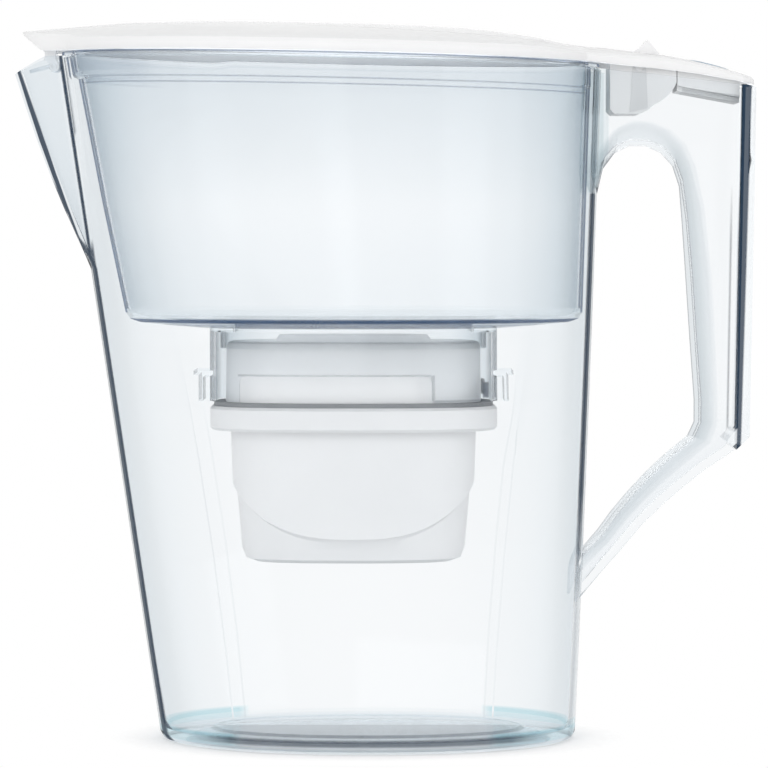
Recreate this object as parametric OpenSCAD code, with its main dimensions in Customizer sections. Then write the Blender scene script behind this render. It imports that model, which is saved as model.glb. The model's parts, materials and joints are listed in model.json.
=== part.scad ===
// Water filter pitcher with a flip lid: a clear jug, a hopper that hangs in it,
// an oval filter cartridge pushed up under the hopper, and a white lid with a filling flap.
// +X points to the handle, -X to the spout and +Z up. The origin is under the middle of the
// whole pitcher, on the surface that it stands on.

/* [Jug] */
// Distance from the frame's origin to the spout-side wall at the base
base_left = 80.4; // [78:0.2:84]
// Distance from the origin to the handle-side wall at the base
base_right = 69; // [67:0.2:71]
// Distance from the origin to the spout-side wall at the rim
rim_left = 115.9; // [113:0.2:118]
// Distance from the origin to the handle-side wall at the rim
rim_right = 77.8; // [76:0.2:80]
// Half the jug's width at the base
base_half = 46; // [44:0.5:49]
// Half the jug's width at the rim
rim_half = 52; // [50:0.5:55]
// Height of the rim above the origin
rim_height = 242.3; // [236:0.5:250]
// Fall of the rim per millimetre towards the handle
rim_slope = 0.0218; // [0.01:0.001:0.03]
// Thickness of the jug's wall
jug_wall = 2.5; // [2:0.1:3]
// Thickness of the jug's floor
floor_thickness = 3.4; // [2.6:0.2:4.4]
// Depth of the recess inside the foot
foot_recess = 1.2; // [0.6:0.2:1.8]
// How far the middle panel of each side stands proud
panel_proud = 0.8; // [0.4:0.1:1.2]

/* [Spout] */
// Height at which the spout leaves the wall
spout_start = 170; // [160:1:180]
// Reach of the spout beyond the wall
spout_reach = 16.4; // [13:0.2:18]
// Half the spout's width where it meets the wall
spout_half = 12; // [11:0.5:13]
// Fall of the spout's rim per millimetre towards its tip
spout_fall = 0.55; // [0.4:0.05:0.7]

/* [Handle] */
// Distance from the origin to the handle's outer wall at the top
handle_reach = 132.3; // [130:0.5:136]
// Half the handle's width
handle_half = 15; // [14:0.5:17]
// Thickness of the handle's walls
handle_wall = 2.4; // [2:0.1:2.8]
// Depth of the rounded grip band
grip_depth = 10; // [8:0.5:12]

/* [Hopper] */
// Height of the hopper's floor where it meets its walls
hopper_floor = 150.6; // [146:0.5:156]
// Thickness of the hopper's walls
hopper_wall = 2; // [1.6:0.1:2.4]
// Space between jug and hopper at the floor, spout side
hopper_left_gap = 7.4; // [5:0.5:10]
// Space between jug and hopper below the rim band, spout side
hopper_top_gap = 2.8; // [2.2:0.2:3.4]
// Space between jug and hopper along the handle side and the long sides at the floor
hopper_side_gap = 1.6; // [1:0.1:2.4]
// Height of the rim band
band_height = 8; // [7:0.5:10]
// Thickness of the hopper's flange on the jug's rim
flange_thickness = 1.2; // [0.9:0.1:1.6]

/* [Collar] */
// How far the collar reaches beyond the cartridge's flange at the ends
collar_end_step = 0.1; // [0:0.1:1]
// How far the collar reaches beyond the cartridge's flange on the long sides
collar_side_step = 1; // [0.4:0.1:1.6]
// Thickness of the collar's walls
collar_wall = 2; // [1.6:0.1:2.4]
// Depth of the collar below the hopper's floor
collar_depth = 26.2; // [24:0.2:28]
// Reach of the finger window in the collar's skirt from the cartridge's axis, towards the spout
window_front = 39.9; // [37:0.2:41]
// Reach of the finger window from the cartridge's axis, towards the handle
window_rear = 27.8; // [25:0.2:31]
// Height of the finger window
window_height = 9.4; // [7:0.2:11]
// Half the width of the end ears
ear_half = 11; // [9:0.5:13]

/* [Cartridge] */
// Distance of the cartridge's axis from the origin, towards the spout
cartridge_offset = 11; // [9:0.5:13]
// Half the length of the cartridge's flange
flange_length = 51.5; // [50:0.1:52.5]
// Half the width of the cartridge's flange
flange_width = 29.6; // [28.6:0.1:30.4]
// Height of the flange
flange_height = 8.6; // [7:0.2:10]
// How far the flange stands out from the upper body at the ends
cap_end_step = 5.6; // [5:0.1:7]
// How far the flange stands out from the upper body on the long sides
cap_side_step = 5; // [4.4:0.1:6]
// Height of the upper body above the flange
cap_height = 23; // [20:0.5:24]
// How far the flange stands out from the lower body at the ends
shell_end_step = 7.4; // [6:0.1:9]
// How far the flange stands out from the lower body on the long sides
shell_side_step = 6.6; // [5.6:0.1:8]
// Depth of the lower body below the flange
shell_depth = 47.4; // [42:0.2:52]
// Thickness of the cartridge's walls
shell_wall = 1.6; // [1.2:0.1:2]

/* [Lid] */
// Overhang of the lid beyond the jug's rim
lid_overhang = 0.6; // [0.3:0.1:1]
// Reach of the lid's nose over the spout
nose_reach = 13; // [10:0.5:15]
// Half the width of the lid's nose at its root
nose_half = 17; // [14:0.5:20]
// Rise of the crown above the lid's lower edge
crown_height = 12.2; // [10:0.2:14]
// Height of the lid's body above its lower edge at the handle end
tail_height = 5.8; // [5.4:0.1:6.6]
// Thickness of the lid
lid_wall = 2.2; // [1.8:0.1:2.6]

/* [Flap] */
// Distance from the origin to the flap's hinge axis
hinge_x = 90.7; // [89:0.1:92]
// Depth of the hinge axis below the lid's top
hinge_depth = 5.6; // [5.5:0.1:5.9]
// Distance from the origin to the filling opening's front edge, towards the spout
opening_front = 42; // [36:1:50]
// Distance from the origin to the filling opening's rear edge
opening_rear = 74; // [70:0.5:76]
// Half the width of the filling opening
opening_half = 33; // [28:0.5:36]
// Half the width of the hinge slot
slot_half = 10.2; // [9.4:0.1:10.6]
// Space round the flap
flap_gap = 0.6; // [0.4:0.05:0.8]
// Height of the thumb tab above the lid
tab_height = 4.1; // [3.5:0.1:5.5]

/* [Dial] */
// Distance from the handle's outer wall to the month dial's centre
dial_back = 15.7; // [15.1:0.1:16.1]
// Radius of the month dial
dial_radius = 7.6; // [6.5:0.1:8]

/* [Hidden] */
// Two pieces that rest on each other lie this far apart
seat = 0.3;
// Radial running fit of a pin
running = 0.05;
// Roundness of the plan outlines: 2 is an ellipse, more is squarer
plan_power = 2.1;
cartridge_power = 2.7;
// Numbers of points along the parts of an outline
end_steps = 8;
panel_steps = 9;
shoulder_steps = 6;
nose_steps = 5;
arc_steps = 15;
side_steps = 4;
corner_steps = 3;
oval_points = 56;

// Sizes that follow from the ones above
collar_length = flange_length + collar_end_step;
collar_width = flange_width + collar_side_step;
cap_length = flange_length - cap_end_step;
cap_width = flange_width - cap_side_step;
shell_length = flange_length - shell_end_step;
shell_width = flange_width - shell_side_step;
dial_x = handle_reach - dial_back;

// ---- Helpers -------------------------------------------------------------------------------

function sgn(v) = v < 0 ? -1 : 1;
function lerp(a, b, t) = a + (b - a) * t;
function clamp01(t) = max(0, min(1, t));
function smooth(t) = t * t * (3 - 2 * t);
function reversed(list) = [for (i = [len(list) - 1:-1:0]) list[i]];
function mirrored(list) = [for (p = reversed(list)) [p[0], -p[1]]];

// Point at an angle on a rounded oval that spans left to right in X
function oval_at(left, right, half, power, angle) = [
  (left + right) / 2 + (right - left) / 2 * sgn(cos(angle)) * pow(abs(cos(angle)), 2 / power),
  half * sgn(sin(angle)) * pow(abs(sin(angle)), 2 / power)
];
// Angle on the oval's right end at which its half width is y
function angle_of_y(half, power, y) = asin(pow(y / half, power / 2));
// Angle on the oval at which its X is x
function angle_of_x(left, right, power, x) =
  let (u = (2 * x - left - right) / (right - left))
  acos(sgn(u) * pow(abs(u), power / 2));
// X of the oval's right end at width y
function end_x(left, right, half, power, y) =
  (left + right) / 2 + (right - left) / 2 * pow(1 - pow(abs(y) / half, power), 1 / power);

// A whole oval as a list of points
function oval(left, right, half, power, count = oval_points) =
  [for (i = [0:count - 1]) oval_at(left, right, half, power, 360 * i / count)];
function at_height(points, z) = [for (p = points) [p[0], p[1], z]];

// Faces between rings of the same number of points
function band_faces(rings, count, closed) = [
  for (r = [0:(closed ? rings - 1 : rings - 2)])
    for (i = [0:count - 1])
      let (
        j = (i + 1) % count,
        a = r * count,
        b = ((r + 1) % rings) * count
      )
      each [[a + i, b + i, b + j], [a + i, b + j, a + j]]
];
// A solid through a stack of rings, closed by a flat face at each end
module loft(rings) {
  count = len(rings[0]);
  last = (len(rings) - 1) * count;
  polyhedron(
    points = [for (r = rings) each r],
    faces = concat(
      band_faces(len(rings), count, false),
      [[for (i = [0:count - 1]) i]],
      [[for (i = [count - 1:-1:0]) last + i]]
    ),
    convexity = 8
  );
}
// A solid whose last ring joins its first, like a hollow ring
module ring_loft(rings) {
  polyhedron(
    points = [for (r = rings) each r],
    faces = band_faces(len(rings), len(rings[0]), true),
    convexity = 8
  );
}
// A solid through a stack of rings, drawn together to a point at each end
module pointed_loft(first, rings, last) {
  count = len(rings[0]);
  body = [for (r = rings) each r];
  top = len(body);
  end = (len(rings) - 1) * count;
  polyhedron(
    points = concat(body, [first, last]),
    faces = concat(
      band_faces(len(rings), count, false),
      [for (i = [0:count - 1]) [top, i, (i + 1) % count]],
      [for (i = [0:count - 1]) [top + 1, end + (i + 1) % count, end + i]]
    ),
    convexity = 8
  );
}
// A plate of an outline, standing on height z
module plate(points, z, height) {
  translate([0, 0, z])
    linear_extrude(height)
      polygon(points);
}

// ---- Jug -----------------------------------------------------------------------------------

// The wall's places at a height
function jug_left(z) = -lerp(base_left, rim_left, z / rim_height);
function jug_right(z) = lerp(base_right, rim_right, z / rim_height) + jug_bow * z * (rim_height - z);
function jug_half(z) = lerp(base_half, rim_half, z / rim_height);
jug_bow = 0.00003;
// The side panel narrows towards the base
panel_left_base = 52;
panel_right_base = 37.7;
panel_top = 176;
function panel_left(z) = -(panel_left_base + 0.085 * z + 0.0004 * z * z);
function panel_right(z) = panel_right_base + 0.045 * z + 0.00032 * z * z;
function panel_height(z) = panel_proud * smooth(clamp01((panel_top - z) / 70));
// The jug's rim, and the lid's lower edge above it
function rim_at(x) = rim_height - rim_slope * x;
edge_above_rim = flange_thickness + 2 * seat;
tail_start = 72;
tail_curve = 0.00168;
tail_step = 0.8;
function edge_at(x) =
  rim_at(x) + edge_above_rim - tail_curve * pow(max(0, x - tail_start), 2)
  - tail_step * smooth(clamp01((x - rim_right) / 5));
spout_crest = rim_left + 6;
function spout_rim_at(x) = rim_at(x) - spout_fall * max(0, -spout_crest - x);

// Growth of the spout from its start to the rim
function spout_growth(z) =
  let (u = clamp01((z - spout_start) / (rim_height - spout_start)))
  u * (1.44 - 0.44 * u);
// Sharpness of the spout's fold
fold = 0.16;
function folded(s) = 1 - (sqrt(s * s + fold * fold) - fold) / (sqrt(1 + fold * fold) - fold);

// The jug's outline at a height, inset by d, with its panel proud by p
function jug_outline(z, d, p) =
  let (
    left = jug_left(z) + d,
    right = jug_right(z) - d,
    half = jug_half(z) - d,
    reach = spout_growth(z) * (spout_reach - 0.3 * d),
    width = (spout_half - 0.35 * d) * (0.8 + 0.2 * spout_growth(z)),
    ta = angle_of_x(left, right, plan_power, panel_right(z)),
    tb = angle_of_x(left, right, plan_power, panel_left(z)),
    tn = 180 - angle_of_y(half, plan_power, width),
    step = 0.7,
    upper = concat(
      [for (i = [1:end_steps]) oval_at(left, right, half, plan_power, ta * i / end_steps)],
      [
        for (i = [0:panel_steps])
          oval_at(left, right, half, plan_power, lerp(ta + step, tb - step, i / panel_steps))
          + [0, p]
      ],
      [
        for (i = [0:shoulder_steps])
          oval_at(left, right, half, plan_power, lerp(tb, tn, i / shoulder_steps))
      ],
      [
        for (i = [1:nose_steps])
          let (s = 1 - i / (nose_steps + 1), y = width * s)
          [left + right - end_x(left, right, half, plan_power, y) - reach * folded(s), y]
      ]
    )
  )
  concat(
    [[right, 0]],
    upper,
    [[left - reach, 0]],
    mirrored(upper)
  );
// The height of the rim at each point of the outline
jug_rim_outline = jug_outline(rim_height, 0, 0);
jug_rim_heights = [for (p = jug_rim_outline) spout_rim_at(p[0])];
// An outline in the plane of a height
function jug_ring(z, d, p) = at_height(jug_outline(z, d, p), z);
// An outline that leans from the spout's start up to the rim
function leaning_ring(v, d, drop = 0) =
  let (flat = jug_outline(lerp(spout_start, rim_height, v), d, 0))
  [
    for (i = [0:len(flat) - 1])
      [flat[i][0], flat[i][1], lerp(spout_start, jug_rim_heights[i], v) - drop]
  ];
side_heights = [34, 68, 100, 124, 148, 169];
lean_steps = [0.14, 0.3, 0.46, 0.64, 0.82];
rim_round = 0.7;
foot_round = 3;

module jug_body() {
  color("lightcyan")
    loft(concat(
      [
        jug_ring(foot_recess, 12, 0),
        jug_ring(0, 10.5, 0),
        jug_ring(0, foot_round, panel_proud),
        jug_ring(foot_round * 0.3, foot_round * 0.3, panel_proud),
        jug_ring(foot_round, 0, panel_proud)
      ],
      [for (z = side_heights) jug_ring(z, 0, panel_height(z))],
      [for (v = lean_steps) leaning_ring(v, 0)],
      [
        leaning_ring(1, 0, rim_round),
        leaning_ring(1, rim_round),
        leaning_ring(1, jug_wall - rim_round),
        leaning_ring(1, jug_wall, rim_round)
      ],
      [for (v = reversed(lean_steps)) leaning_ring(v, jug_wall)],
      [for (z = reversed([for (i = [0, 2, 4, 5]) side_heights[i]])) jug_ring(z, jug_wall, 0)],
      [
        jug_ring(floor_thickness + 4, jug_wall, 0),
        jug_ring(floor_thickness + 1.1, jug_wall + 1.1, 0),
        jug_ring(floor_thickness, jug_wall + 4, 0),
        jug_ring(floor_thickness, jug_wall + 16, 0),
        jug_ring(floor_thickness + 0.9, jug_wall + 17.5, 0)
      ]
    ));
}

// ---- Handle --------------------------------------------------------------------------------

// Stations from the jug's wall at the top, round the grip and down to the wall again. Each has
// its place on the finger opening's edge and its place on the handle's outer edge.
outer_gap = handle_reach - 3.3;
wall_lean = 0.018;
lean_height = 235;
// The handle's top keeps clear of the lid's tail, which bends down over it
handle_clear = 1.7;
function handle_top(x) =
  edge_at(x) - seat - lerp(0.25, handle_clear, smooth(clamp01((handle_reach - x) / 22)));
function outer_x(z) = outer_gap - wall_lean * (lean_height - z);
handle_stations = [
  [[77, 196], [77.9, 0]],
  [[78.3, 204.5], [80.5, 0]],
  [[82.6, 210.3], [85, 0]],
  [[88, 213], [91, 0]],
  [[93.6, 213], [98, 0]],
  [[99.2, 210.6], [107, 0]],
  [[103.6, 205.8], [118, 0]],
  [[106, 198.5], [outer_x(lean_height), 0]],
  [[107, 186], [outer_x(200), 200]],
  [[108.4, 166], [outer_x(168), 168]],
  [[109.8, 146], [outer_x(146), 146]],
  [[111.6, 122], [outer_x(124), 124]],
  [[111.6, 114], [outer_x(112), 112]],
  [[109.4, 109.2], [124.4, 104.6]],
  [[101.2, 102.4], [114, 97.6]],
  [[94, 95.6], [107, 92]],
  [[87.4, 88.4], [99.6, 85.6]],
  [[81.6, 81.4], [91.4, 77.6]],
  [[77, 75], [83, 67.6]],
  [[73, 68.6], [72, 50.4]]
];
function handle_edge(s) = s[1][1] == 0 ? [s[1][0], handle_top(s[1][0])] : s[1];
grip_steps = 8;
// The U of the channel, as [distance from the finger opening's edge, half width]
function channel_half(length, inset) =
  let (depth = min(grip_depth, 0.55 * length))
  concat(
    [[length, handle_half - inset]],
    [
      for (i = [0:grip_steps])
        let (a = 90 * i / grip_steps)
        [depth - (depth - inset) * sin(a), (handle_half - inset) * cos(a)]
    ]
  );
// The whole U: its outer side from lip to lip, and back along its inner side
function whole_u(half) =
  concat(half, mirrored([for (i = [0:len(half) - 2]) half[i]]));
function channel_profile(length) =
  concat(
    whole_u(channel_half(length, 0)),
    reversed(whole_u(channel_half(length, handle_wall)))
  );
// A channel through a stack of U profiles. Its ends are strips between the U's two sides.
module channel_loft(rings) {
  count = len(rings[0]);
  last = (len(rings) - 1) * count;
  polyhedron(
    points = [for (r = rings) each r],
    faces = concat(
      band_faces(len(rings), count, false),
      [
        for (i = [0:count / 2 - 2])
          let (a = i, b = i + 1, c = count - 2 - i, d = count - 1 - i)
          each [[a, b, c], [a, c, d]]
      ],
      [
        for (i = [0:count / 2 - 2])
          let (a = last + i, b = a + 1, c = last + count - 2 - i, d = c + 1)
          each [[a, c, b], [a, d, c]]
      ]
    ),
    convexity = 8
  );
}
// Place of a profile point on the jug's wall
function on_wall(p) =
  let (z = p[2])
  [end_x(jug_left(z), jug_right(z), jug_half(z), plan_power, p[1]) + wall_touch, p[1], z];
wall_touch = 0.1;
module handle() {
  last = len(handle_stations) - 1;
  rings = [
    for (k = [0:last])
      let (
        start = handle_stations[k][0],
        edge = handle_edge(handle_stations[k]),
        length = norm(edge - start),
        way = (edge - start) / length
      )
      [
        for (q = channel_profile(length))
          let (p = [start[0] + way[0] * q[0], q[1], start[1] + way[1] * q[0]])
          k == 0 || k == last ? on_wall(p) : p
      ]
  ];
  color("azure")
    union() {
      channel_loft(reversed(rings));
      outer_wall();
    }
}
// The wall that closes the channel on its outside, down to its pointed lower end
module outer_wall() {
  top = handle_top(handle_reach);
  corner = 4;
  intersection() {
    rotate([90, 0, 0])
      linear_extrude(2 * handle_half, center = true)
        polygon([
          [outer_gap - 0.6, handle_top(outer_gap - 0.6)],
          [handle_reach, top],
          [handle_reach - 2.2, 109.4],
          [125.4, 104.8],
          [122.2, 107.8],
          [outer_x(112) - 0.6, 112.6]
        ]);
    translate([0, 0, 90])
      linear_extrude(180)
        union() {
          translate([110, -handle_half])
            square([handle_reach - 110 - corner, 2 * handle_half]);
          translate([110, -handle_half + corner])
            square([handle_reach - 110, 2 * (handle_half - corner)]);
          for (side = [-1, 1])
            translate([handle_reach - corner, side * (handle_half - corner)])
              circle(r = corner, $fn = 48);
        }
  }
}

// ---- Hopper --------------------------------------------------------------------------------

band_bottom = rim_height - band_height;
band_gap = 0.95;
hopper_left_low = jug_left(hopper_floor) + jug_wall + hopper_left_gap;
hopper_left_high = jug_left(band_bottom) + jug_wall + hopper_top_gap;
hopper_right_low = jug_right(hopper_floor) - jug_wall - hopper_side_gap * 0.7;
hopper_right_high = jug_right(band_bottom) - jug_wall - band_gap - 0.3;
hopper_half_low = jug_half(hopper_floor) - jug_wall - hopper_side_gap;
hopper_half_high = jug_half(band_bottom) - jug_wall - band_gap - 0.4;
// The hopper's outline between its floor, v = 0, and its rim band, v = 1, inset by d
function hopper_outline(v, d) =
  oval(
    lerp(hopper_left_low, hopper_left_high, v) + d,
    lerp(hopper_right_low, hopper_right_high, v) - d,
    lerp(hopper_half_low, hopper_half_high, v) - d,
    plan_power
  );
// The rim band stands out from the wall and follows the jug's rim
function band_outline(d, z = rim_height) =
  oval(
    jug_left(z) + jug_wall + band_gap + d,
    jug_right(band_bottom) - jug_wall - band_gap - d,
    jug_half(band_bottom) - jug_wall - band_gap - d,
    plan_power
  );
function flange_outline(d) =
  oval(
    jug_left(rim_height) + 0.4 + d,
    jug_right(rim_height) - 0.4 - d,
    jug_half(rim_height) - 0.4 - d,
    plan_power
  );
function sloped(points, drop) = [for (p = points) [p[0], p[1], rim_at(p[0]) - drop]];
well_length = collar_length - 9;
well_width = collar_width - 9;
well_flat = 3;
collar_top = hopper_floor - 2.4;
function well_outline(grow) =
  oval(
    -cartridge_offset - well_length - grow,
    -cartridge_offset + well_length + grow,
    well_width + grow,
    cartridge_power
  );
module hopper() {
  floor_low = collar_top;
  color("powderblue")
    ring_loft([
      at_height(well_outline(0), floor_low),
      at_height(well_outline(9 + well_flat), floor_low),
      at_height(hopper_outline(0, 5), hopper_floor - 0.6),
      at_height(hopper_outline(0, 1.4), hopper_floor + 0.7),
      at_height(hopper_outline(0.02, 0), hopper_floor + 3),
      at_height(hopper_outline(0.5, 0), lerp(hopper_floor, band_bottom, 0.5)),
      sloped(hopper_outline(1, 0), band_height),
      sloped(band_outline(0.3, band_bottom), band_height - 0.8),
      sloped(band_outline(0, band_bottom), band_height - 1.4),
      sloped(band_outline(0), -seat),
      sloped(flange_outline(0), -seat),
      sloped(flange_outline(0.3), -seat - flange_thickness),
      sloped(band_outline(hopper_wall), -seat - flange_thickness),
      sloped(band_outline(hopper_wall, band_bottom), band_height - 2.8),
      sloped(hopper_outline(1, hopper_wall), band_height - 1.6),
      at_height(hopper_outline(0.5, hopper_wall), lerp(hopper_floor, band_bottom, 0.5)),
      at_height(hopper_outline(0.04, hopper_wall), hopper_floor + 4.4),
      at_height(hopper_outline(0, hopper_wall + 1.4), hopper_floor + 2.4),
      at_height(hopper_outline(0, hopper_wall + 5), hopper_floor + 1.5),
      at_height(well_outline(8 + well_flat), floor_low + hopper_wall),
      at_height(well_outline(0), floor_low + hopper_wall)
    ]);
}

// ---- Collar --------------------------------------------------------------------------------

function cartridge_oval(length, width, count = 48) =
  oval(-cartridge_offset - length, -cartridge_offset + length, width, cartridge_power, count);
collar_bottom = collar_top - collar_depth;
sleeve_gap = 0.5;
sleeve_wall = 1.4;
sleeve_depth = 7.4;
ear_reach = 3.5;
ear_wall = 1.4;
ear_lip = 1.7;
window_round = 2.4;
module collar_ring(length, width, thickness, z, height) {
  translate([0, 0, z])
    linear_extrude(height)
      difference() {
        polygon(cartridge_oval(length, width));
        polygon(cartridge_oval(length - thickness, width - thickness));
      }
}
// A hollow grip ear on one end of the collar
module collar_ear(side) {
  height = window_height;
  root = collar_wall;
  reach = root + ear_reach;
  translate([-cartridge_offset + side * (collar_length - root), 0, collar_bottom])
    difference() {
      translate([side > 0 ? 0 : -reach, -ear_half, 0])
        cube([reach, 2 * ear_half, height]);
      translate([side > 0 ? -1 : 1 - reach, -ear_half + ear_wall, -1])
        translate([side > 0 ? 0 : ear_wall - 1, 0, 0])
          cube([reach + 1 - ear_wall, 2 * (ear_half - ear_wall), height]);
    }
  translate([
    -cartridge_offset + side * (collar_length - root + (reach + ear_lip) / 2), 0,
    collar_bottom + height
  ])
    linear_extrude(1.5)
      square([reach + ear_lip, 2 * ear_half + 2.4], center = true);
}
// The finger window seen from the side, with its two upper corners rounded
window_outline =
  let (r = window_round, low = -1, a = window_front, b = window_rear)
  concat(
    [[-a, low]],
    [for (k = [0:6]) [-a + r - r * cos(15 * k), window_height - r + r * sin(15 * k)]],
    [for (k = [6:-1:0]) [b - r + r * cos(15 * k), window_height - r + r * sin(15 * k)]],
    [[b, low]]
  );
module cartridge_collar() {
  plate_height = 1.6;
  color("aliceblue")
    difference() {
      union() {
        collar_ring(
          collar_length, collar_width, collar_length - well_length,
          collar_top - plate_height, plate_height
        );
        collar_ring(collar_length, collar_width, collar_wall, collar_bottom, collar_depth);
        collar_ring(
          cap_length + sleeve_gap + sleeve_wall, cap_width + sleeve_gap + sleeve_wall,
          sleeve_wall, collar_top - sleeve_depth, sleeve_depth
        );
        for (side = [-1, 1]) collar_ear(side);
      }
      for (side = [-1, 1])
        translate([-cartridge_offset, side * collar_width, collar_bottom])
          rotate([90, 0, 0])
            linear_extrude(collar_width, center = true)
              polygon(window_outline);
      translate([0, 0, collar_bottom - 1])
        linear_extrude(collar_depth - sleeve_depth)
          polygon(cartridge_oval(collar_length - collar_wall, collar_width - collar_wall));
    }
}

// ---- Cartridge -----------------------------------------------------------------------------

flange_top = collar_bottom - 1.8;
flange_bottom = flange_top - flange_height;
shell_bottom = flange_bottom - shell_depth;
outlet_length = 26;
outlet_width = 11;
inlet_length = 25;
inlet_width = 12;
// The inlet stands on a low platform with sloped sides
inlet_rise = 2.2;
inlet_frame = 1.6;
inlet_slope = 1.6;
cap_draw = 0.3;
// The lower body steps in below a curve that sags on the long sides
step_high = flange_bottom - 19;
step_sag = 20;
function step_height(i) = step_high - step_sag * pow(abs(sin(360 * i / 48)), 1.6);
function stepped(points, rise) =
  [for (i = [0:len(points) - 1]) [points[i][0], points[i][1], step_height(i) + rise]];
// The shell's inside, inset by end and side, and the outlines of what fills it with a gap
function shell_inside(end, side, gap = 0) =
  cartridge_oval(shell_length - shell_wall - end - gap, shell_width - shell_wall - side - gap);
inside_low = [8, 7.4];
inside_mid = [4, 3.4];
inside_high = [1.4, 1.2];
inside_rise = 5.6;
module cartridge_shell() {
  color("white")
    ring_loft([
      at_height(cartridge_oval(outlet_length, outlet_width), shell_bottom),
      at_height(cartridge_oval(shell_length - 9, shell_width - 8.4), shell_bottom),
      at_height(cartridge_oval(shell_length - 5.4, shell_width - 4.6), shell_bottom + 1.4),
      at_height(cartridge_oval(shell_length - 4, shell_width - 3.2), shell_bottom + 5),
      stepped(cartridge_oval(shell_length - 2.1, shell_width - 1.9), -0.7),
      stepped(cartridge_oval(shell_length - 0.6, shell_width - 0.5), 0.7),
      at_height(cartridge_oval(shell_length, shell_width), flange_bottom),
      at_height(cartridge_oval(flange_length - 0.9, flange_width - 0.9), flange_bottom),
      at_height(cartridge_oval(flange_length, flange_width), flange_bottom + 1),
      at_height(cartridge_oval(flange_length, flange_width), flange_top - 1),
      at_height(cartridge_oval(flange_length - 0.9, flange_width - 0.9), flange_top),
      at_height(shell_inside(0, 0), flange_top),
      at_height(shell_inside(inside_high[0], inside_high[1]), step_high),
      at_height(shell_inside(inside_mid[0], inside_mid[1]), shell_bottom + inside_rise),
      at_height(shell_inside(inside_low[0], inside_low[1]), shell_bottom + shell_wall),
      at_height(cartridge_oval(outlet_length, outlet_width), shell_bottom + shell_wall)
    ]);
}
cap_bottom = flange_top + 0.01;
cap_top = flange_top + cap_height;
function inlet_ring(grow, rise) =
  at_height(cartridge_oval(inlet_length + grow, inlet_width + grow), cap_top + rise);
module cartridge_cap() {
  color("ghostwhite")
    ring_loft([
      at_height(cartridge_oval(cap_length - shell_wall, cap_width - shell_wall), cap_bottom),
      at_height(cartridge_oval(cap_length, cap_width), cap_bottom),
      at_height(cartridge_oval(cap_length - cap_draw, cap_width - cap_draw), cap_top - 1.6),
      at_height(cartridge_oval(cap_length - 0.8, cap_width - 0.8), cap_top - 0.5),
      at_height(cartridge_oval(cap_length - 2, cap_width - 2), cap_top),
      inlet_ring(inlet_frame + inlet_slope, 0),
      inlet_ring(inlet_frame, inlet_rise),
      inlet_ring(0, inlet_rise),
      inlet_ring(0, inlet_rise - shell_wall),
      inlet_ring(inlet_slope, -shell_wall),
      at_height(
        cartridge_oval(cap_length - shell_wall - cap_draw - 1, cap_width - shell_wall - cap_draw - 1),
        cap_top - shell_wall
      ),
      at_height(
        cartridge_oval(cap_length - shell_wall - cap_draw, cap_width - shell_wall - cap_draw),
        cap_top - shell_wall - 1.4
      )
    ]);
}
// A ring of soft rubber that lies on the flange, round the upper body
module cartridge_seal() {
  color("gray")
    translate([0, 0, flange_top + 0.01])
      linear_extrude(collar_bottom - flange_top - seat)
        difference() {
          polygon(cartridge_oval(flange_length - 1.4, flange_width - 1.4));
          polygon(cartridge_oval(cap_length + 0.2, cap_width + 0.2));
        }
}
// A frame with slots that fills an oval opening
module slotted_screen(length, width, thickness, z) {
  pitch = 4.2;
  slot = 1.8;
  rows = floor((width - 2.2) / pitch);
  fit = 0.02;
  difference() {
    plate(cartridge_oval(length - fit, width - fit), z, thickness);
    for (k = [-rows:rows])
      let (span = length * pow(1 - pow(abs(k) * pitch / width, cartridge_power), 1 / cartridge_power) - 2.4)
      for (side = [-1, 1])
        translate([-cartridge_offset + side * (span / 2 + 0.6), k * pitch, z - 1])
          linear_extrude(thickness + 2)
            square([span - 1.2, slot], center = true);
  }
}
module inlet_screen() {
  color("gainsboro")
    slotted_screen(
      inlet_length, inlet_width, shell_wall - 0.2, cap_top + inlet_rise - shell_wall + 0.1
    );
}
module outlet_screen() {
  color("gainsboro")
    slotted_screen(outlet_length, outlet_width, shell_wall - 0.2, shell_bottom + 0.1);
}
bed_gap = 0.3;
resin_bottom = shell_bottom + shell_wall + bed_gap;
resin_top = step_high;
module resin_bed() {
  color("goldenrod")
    loft([
      at_height(shell_inside(inside_low[0], inside_low[1], bed_gap + 0.1), resin_bottom),
      at_height(
        shell_inside(inside_mid[0], inside_mid[1], bed_gap + 0.1),
        shell_bottom + inside_rise + bed_gap
      ),
      at_height(shell_inside(inside_high[0], inside_high[1], bed_gap + 0.1), resin_top)
    ]);
}
pad_thickness = 1.6;
module separator_pad() {
  color("snow")
    plate(
      shell_inside(inside_high[0], inside_high[1], bed_gap + 0.2),
      resin_top + 0.02, pad_thickness
    );
}
carbon_bottom = resin_top + pad_thickness + 0.04;
module carbon_bed() {
  color("dimgray")
    plate(
      shell_inside(inside_high[0], inside_high[1], bed_gap + 0.1),
      carbon_bottom, cap_top - shell_wall - 3 - carbon_bottom
    );
}

// ---- Lid -----------------------------------------------------------------------------------

nose_foot = rim_left + 6.1;
nose_lift = 0.83;
function lid_edge(x) = edge_at(x) + nose_lift * max(0, -nose_foot - x);
crown_x = -32;
crown_front = 88;
crown_rear = 100;
nose_height = 7.3;
taper_start = 95;
taper_length = 38;
taper_drop = 2.9;
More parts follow.
